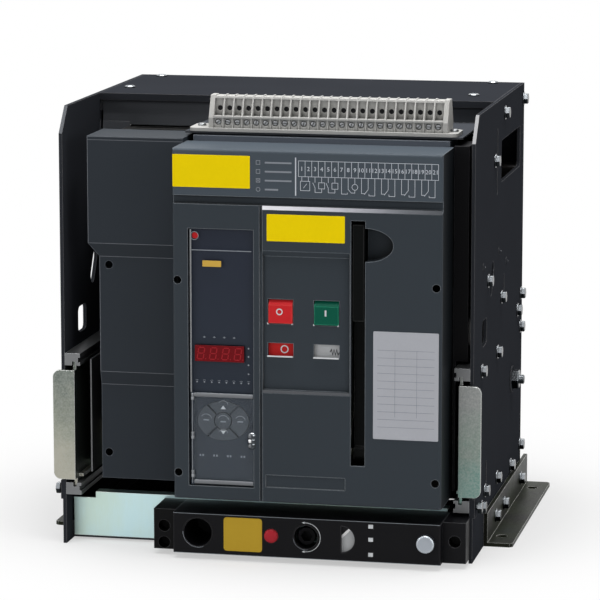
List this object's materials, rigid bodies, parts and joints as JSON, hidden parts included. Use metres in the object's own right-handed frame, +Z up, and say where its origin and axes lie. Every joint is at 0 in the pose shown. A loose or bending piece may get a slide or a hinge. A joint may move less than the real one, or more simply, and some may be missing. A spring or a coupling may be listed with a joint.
{
  "type": "air circuit breaker",
  "caption": "Withdrawable air circuit breaker in a sheet-metal cradle, with a front controller, charging handle, racking drive, safety shutters and rear copper terminals.",
  "frame": {"origin": "middle of the four foot bolts, on the face that the feet stand on", "axes": "+X to the right seen from the front, +Y to the rear, towards the terminals, +Z up"},
  "size_m": [0.47, 0.421, 0.4485],
  "materials": {
    "black_sheet": "satin black powder coat",
    "zinc_sheet": "zinc plate with a pale yellow-green passivation",
    "guide_aluminium": "drawn, matte",
    "bolt_steel": "zinc plate",
    "shaft_steel": "turned, lightly oiled",
    "bearing_brass": "turned",
    "plated_copper": "tin-plated copper, satin",
    "cover_grey": "fine-textured blue-grey moulding",
    "moulding_brown": "glass-filled polyester moulding",
    "insulation_cream": "pressed fibre board",
    "insulation_dark": "moulded insulation",
    "panel_black": "satin black moulding",
    "terminal_grey": "satin light grey moulding",
    "controller_black": "smooth black face",
    "clear_door": "clear moulding",
    "handle_grey": "satin moulding",
    "key_grey": "satin moulding",
    "off_red": "satin moulding",
    "on_green": "satin moulding",
    "flag_red": "printed flag",
    "flag_white": "printed flag"
  },
  "bodies": {
    "cradle": {"side_plate_left": "black_sheet", "side_plate_right": "black_sheet", "foot_left": "zinc_sheet", "foot_right": "zinc_sheet", "frame_bolts": "bolt_steel", "top_plate": "black_sheet", "upper_panel": "black_sheet", "contact_base": "moulding_brown", "rear_panel": "black_sheet", "base_tray": "black_sheet", "cross_member": "zinc_sheet", "guides_left": "guide_aluminium", "guides_right": "guide_aluminium", "rear_terminals": "plated_copper", "contact_fingers": "plated_copper", "shutter_guides": "moulding_brown", "terminal_plinth": "black_sheet", "terminal_block": "terminal_grey", "racking_panel": "panel_black", "racking_end_left": "panel_black", "racking_end_right": "panel_black", "screw_bearings": "bearing_brass"},
    "carriage": {"carriage_bar": "zinc_sheet", "carriage_nut": "bearing_brass"},
    "breaker": {"breaker_base": "moulding_brown", "side_brackets": "zinc_sheet", "contact_stabs": "plated_copper", "current_transformers": "insulation_dark", "arc_chutes": "insulation_cream", "neutral_cover": "cover_grey", "right_cover": "cover_grey", "secondary_plug": "panel_black", "front_cover": "cover_grey", "controller": "controller_black", "mechanism_frame": "zinc_sheet", "closing_spring": "shaft_steel", "charging_motor": "panel_black"},
    "rail_left": {"rail_left": "zinc_sheet"},
    "rail_right": {"rail_right": "zinc_sheet"},
    "shutter_upper": {"shutter_upper": "insulation_dark"},
    "shutter_lower": {"shutter_lower": "insulation_dark"},
    "racking_screw": {"racking_screw": "shaft_steel"},
    "position_indicator": {"position_indicator": "flag_white"},
    "lock_release_button": {"lock_release_button": "off_red"},
    "padlock_plunger": {"padlock_plunger": "shaft_steel"},
    "main_shaft": {"main_shaft": "shaft_steel"},
    "contact_links": {"contact_links": "shaft_steel"},
    "moving_contacts": {"moving_contacts": "plated_copper"},
    "charging_handle": {"charging_handle": "handle_grey"},
    "on_button": {"on_button": "on_green"},
    "off_button": {"off_button": "off_red"},
    "contact_flag": {"contact_flag": "flag_red"},
    "charge_flag": {"charge_flag": "flag_white"},
    "reset_button": {"reset_button": "key_grey"},
    "controller_door": {"controller_door": "clear_door"},
    "key_up": {"key_up": "key_grey"},
    "key_down": {"key_down": "key_grey"},
    "key_left": {"key_left": "key_grey"},
    "key_right": {"key_right": "key_grey"},
    "key_enter": {"key_enter": "key_grey"}
  },
  "joints": [
    {"name": "racking_travel", "type": "slide", "parent": "cradle", "child": "carriage", "axis": [0, -1, 0], "range_m": [0, 0.05]},
    {"name": "racking_screw_turn", "type": "hinge", "parent": "cradle", "child": "racking_screw", "pos_m": [0.0484, -0.2, 0.0273], "axis": [0, 1, 0], "range_deg": [0, 3800]},
    {"name": "position_indicator_turn", "type": "hinge", "parent": "cradle", "child": "position_indicator", "pos_m": [0.0834, -0.2445, 0.027], "axis": [0, 1, 0], "range_deg": [0, 135]},
    {"name": "body_withdraw", "type": "slide", "parent": "carriage", "child": "breaker", "axis": [0, -1, 0], "range_m": [0, 0.25]},
    {"name": "rail_left_slide", "type": "slide", "parent": "cradle", "child": "rail_left", "axis": [0, -1, 0], "range_m": [0, 0.2501]},
    {"name": "rail_right_slide", "type": "slide", "parent": "cradle", "child": "rail_right", "axis": [0, -1, 0], "range_m": [0, 0.2501]},
    {"name": "shutter_upper_lift", "type": "slide", "parent": "cradle", "child": "shutter_upper", "axis": [0, 0, 1], "range_m": [0, 0.04001]},
    {"name": "shutter_lower_drop", "type": "slide", "parent": "cradle", "child": "shutter_lower", "axis": [0, 0, -1], "range_m": [0, 0.04001]},
    {"name": "lock_release_push", "type": "slide", "parent": "cradle", "child": "lock_release_button", "axis": [0, 1, 0], "range_m": [0, 0.003], "stiffness_N_per_m": 300},
    {"name": "padlock_plunger_pull", "type": "slide", "parent": "cradle", "child": "padlock_plunger", "axis": [0, -1, 0], "range_m": [0, 0.012], "stiffness_N_per_m": 200},
    {"name": "contact_close", "type": "hinge", "parent": "breaker", "child": "main_shaft", "pos_m": [0, -0.172, 0.12], "axis": [-1, 0, 0], "range_deg": [0, 35], "stiffness_Nm_per_rad": 2, "springref_deg": -11.46},
    {"name": "moving_contacts_swing", "type": "hinge", "parent": "breaker", "child": "moving_contacts", "pos_m": [0, -0.062, 0.14], "axis": [-1, 0, 0], "range_deg": [0, 11.51]},
    {"name": "contact_links_swing", "type": "hinge", "parent": "main_shaft", "child": "contact_links", "pos_m": [0, -0.172, 0.155], "axis": [1, 0, 0], "range_deg": [0, 39.85]},
    {"name": "contact_flag_drop", "type": "slide", "parent": "breaker", "child": "contact_flag", "axis": [0, 0, -1], "range_m": [0, 0.01451]},
    {"name": "charge_flag_drop", "type": "slide", "parent": "breaker", "child": "charge_flag", "axis": [0, 0, -1], "range_m": [0, 0.0145]},
    {"name": "charging_handle_pull", "type": "hinge", "parent": "breaker", "child": "charging_handle", "pos_m": [0.1007, -0.24, 0.112], "axis": [1, 0, 0], "range_deg": [0, 95], "stiffness_Nm_per_rad": 0.4, "springref_deg": -22.92},
    {"name": "on_button_push", "type": "slide", "parent": "breaker", "child": "on_button", "axis": [0, 1, 0], "range_m": [0, 0.004], "stiffness_N_per_m": 400},
    {"name": "off_button_push", "type": "slide", "parent": "breaker", "child": "off_button", "axis": [0, 1, 0], "range_m": [0, 0.004], "stiffness_N_per_m": 400},
    {"name": "reset_push", "type": "slide", "parent": "breaker", "child": "reset_button", "axis": [0, 1, 0], "range_m": [0, 0.0015], "stiffness_N_per_m": 300},
    {"name": "controller_door_open", "type": "hinge", "parent": "breaker", "child": "controller_door", "pos_m": [-0.0623, -0.254, 0.122], "axis": [0, 0, -1], "range_deg": [0, 115]},
    {"name": "key_up_push", "type": "slide", "parent": "breaker", "child": "key_up", "axis": [0, 1, 0], "range_m": [0, 0.0006], "stiffness_N_per_m": 500},
    {"name": "key_down_push", "type": "slide", "parent": "breaker", "child": "key_down", "axis": [0, 1, 0], "range_m": [0, 0.0006], "stiffness_N_per_m": 500},
    {"name": "key_left_push", "type": "slide", "parent": "breaker", "child": "key_left", "axis": [0, 1, 0], "range_m": [0, 0.0006], "stiffness_N_per_m": 500},
    {"name": "key_right_push", "type": "slide", "parent": "breaker", "child": "key_right", "axis": [0, 1, 0], "range_m": [0, 0.0006], "stiffness_N_per_m": 500},
    {"name": "key_enter_push", "type": "slide", "parent": "breaker", "child": "key_enter", "axis": [0, 1, 0], "range_m": [0, 0.0006], "stiffness_N_per_m": 500}
  ],
  "couplings": [
    {"joint": "racking_screw_turn", "follows": "racking_travel", "rad_per_m": 1256.6},
    {"joint": "position_indicator_turn", "follows": "racking_travel", "rad_per_m": 41.888},
    {"joint": "rail_left_slide", "follows": "body_withdraw", "ratio": 1},
    {"joint": "rail_right_slide", "follows": "body_withdraw", "ratio": 1},
    {"joint": "shutter_upper_lift", "follows": "body_withdraw", "ratio": 0.16},
    {"joint": "shutter_lower_drop", "follows": "body_withdraw", "ratio": 0.16},
    {"joint": "moving_contacts_swing", "follows": "contact_close", "ratio": 0.32857},
    {"joint": "contact_links_swing", "follows": "contact_close", "ratio": 1.1373},
    {"joint": "contact_flag_drop", "follows": "contact_close", "m_per_rad": 0.023737}
  ]
}
